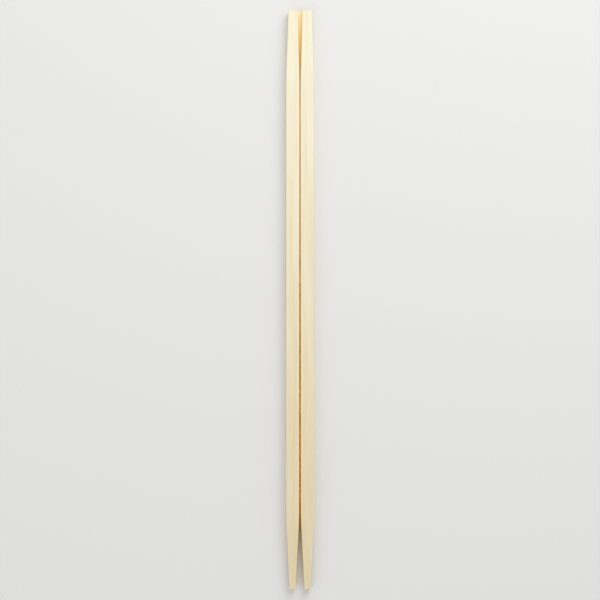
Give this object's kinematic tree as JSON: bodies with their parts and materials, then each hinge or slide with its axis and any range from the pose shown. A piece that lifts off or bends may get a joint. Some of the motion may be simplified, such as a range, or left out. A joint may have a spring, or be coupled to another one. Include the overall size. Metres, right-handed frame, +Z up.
{
  "type": "wooden chopsticks",
  "caption": "Joined pair of disposable wooden chopsticks, tapered at both ends, with a groove and slit along which they snap apart.",
  "frame": {"origin": "on the table surface, below the middle of the pair", "axes": "+Y along the sticks towards the joined head, +X across the pair, +Z up from the table"},
  "size_m": [0.0102, 0.21, 0.0046],
  "materials": {
    "aspen": "planed and tumbled, unvarnished, satin-matt"
  },
  "bodies": {
    "root": {"chopstick_pair": "aspen"}
  },
  "joints": []
}
